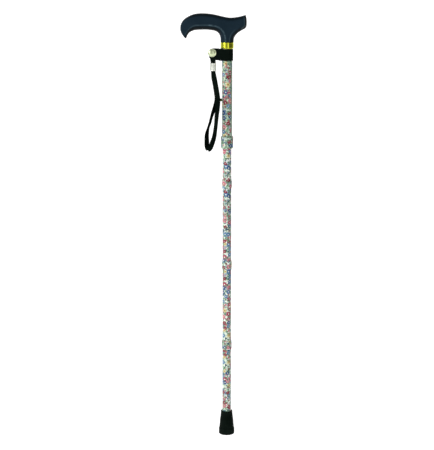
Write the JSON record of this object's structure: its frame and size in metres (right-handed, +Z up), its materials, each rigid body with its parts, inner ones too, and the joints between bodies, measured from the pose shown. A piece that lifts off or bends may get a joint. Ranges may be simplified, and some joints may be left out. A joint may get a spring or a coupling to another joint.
{
  "type": "folding walking cane",
  "caption": "Folding, height-adjustable walking cane with a derby handle, floral-printed tubes, a brass collar, a wrist strap and one rubber tip.",
  "frame": {"origin": "centre of the rubber tip's flat ground face, on the shaft's axis", "axes": "+Z up along the shaft, -X towards the handle's beak, -Y towards a viewer who sees the cane from its side with the beak on the left"},
  "size_m": [0.1405, 0.0359, 0.9272],
  "materials": {
    "floral_print": "glossy printed lacquer on aluminium tube, small all-over flowers",
    "bare_aluminium": "bare drawn tube",
    "charcoal_moulding": "satin navy-charcoal moulding",
    "polished_brass": "polished",
    "pale_brass": "pale brass plating",
    "dark_brass": "dark brass",
    "bright_nickel": "bright plated",
    "spring_steel": "plain steel",
    "black_rubber": "matt moulded rubber",
    "black_nylon": "moulded nylon",
    "black_webbing": "woven elastic and flat braid",
    "white_elastic": "braided cover on rubber cord"
  },
  "bodies": {
    "root": {"handle": "charcoal_moulding", "handle_stem": "black_nylon", "handle_screw": "spring_steel", "brass_collar": "polished_brass", "upper_tube": "floral_print", "threaded_bush": "black_nylon"},
    "locking_collar": {"locking_collar": "floral_print"},
    "compression_ring": {"compression_ring": "black_nylon"},
    "height_section": {"height_tube": "floral_print", "guide_bush": "black_nylon", "button_clip": "spring_steel", "spigot_1": "bare_aluminium", "cord_anchor_top": "black_nylon"},
    "snap_button": {"snap_button": "dark_brass"},
    "section_1": {"section_tube_1": "floral_print", "joint_sleeve_1": "floral_print", "spigot_2": "bare_aluminium"},
    "section_2": {"section_tube_2": "floral_print", "joint_sleeve_2": "floral_print", "spigot_3": "bare_aluminium"},
    "section_3": {"section_tube_3": "floral_print", "joint_sleeve_3": "floral_print", "cord_anchor_bottom": "black_nylon", "elastic_cord": "white_elastic", "ferrule": "black_rubber", "ferrule_washer": "spring_steel"},
    "keeper_band": {"keeper_band": "black_webbing", "snap_cap": "pale_brass", "snap_socket": "bright_nickel", "snap_stud": "pale_brass"},
    "wrist_strap": {"strap_tab": "black_webbing", "crimp_sleeve": "bright_nickel", "wrist_strap": "black_webbing"}
  },
  "joints": [
    {"name": "height_slide", "type": "slide", "parent": "root", "child": "height_section", "axis": [0, 0, -1], "range_m": [-0.0508, 0.0508], "deforming": ["snap_button", "button_clip"]},
    {"name": "collar_turn", "type": "hinge", "parent": "root", "child": "locking_collar", "pos_m": [0, 0, 0.6538], "axis": [0, 0, -1], "range_deg": [0, 180]},
    {"name": "ring_release", "type": "slide", "parent": "root", "child": "compression_ring", "axis": [0, 0, -1], "range_m": [0, 0.00075]},
    {"name": "button_press", "type": "slide", "parent": "height_section", "child": "snap_button", "axis": [1, 0, 0], "range_m": [0, 0.0045], "stiffness_N_per_m": 1500, "springref_m": -0.002},
    {"name": "fold_joint_1_pull", "type": "slide", "parent": "height_section", "child": "section_1", "axis": [0, 0, -1], "range_m": [0, 0.045], "stiffness_N_per_m": 500, "springref_m": -0.04},
    {"name": "fold_joint_2_pull", "type": "slide", "parent": "section_1", "child": "section_2", "axis": [0, 0, -1], "range_m": [0, 0.045], "stiffness_N_per_m": 500, "springref_m": -0.04},
    {"name": "fold_joint_3_pull", "type": "slide", "parent": "section_2", "child": "section_3", "axis": [0, 0, -1], "range_m": [0, 0.045], "stiffness_N_per_m": 500, "springref_m": -0.04, "deforming": ["elastic_cord"]},
    {"name": "band_turn", "type": "hinge", "parent": "root", "child": "keeper_band", "pos_m": [0, 0, 0.8449], "axis": [0, 0, 1], "continuous": true},
    {"name": "strap_swing", "type": "hinge", "parent": "keeper_band", "child": "wrist_strap", "pos_m": [-0.0317, -0.0118, 0.8449], "axis": [0, 1, 0], "range_deg": [-2, 80]}
  ],
  "couplings": [
    {"joint": "ring_release", "follows": "collar_turn", "m_per_rad": 0.00023873}
  ]
}
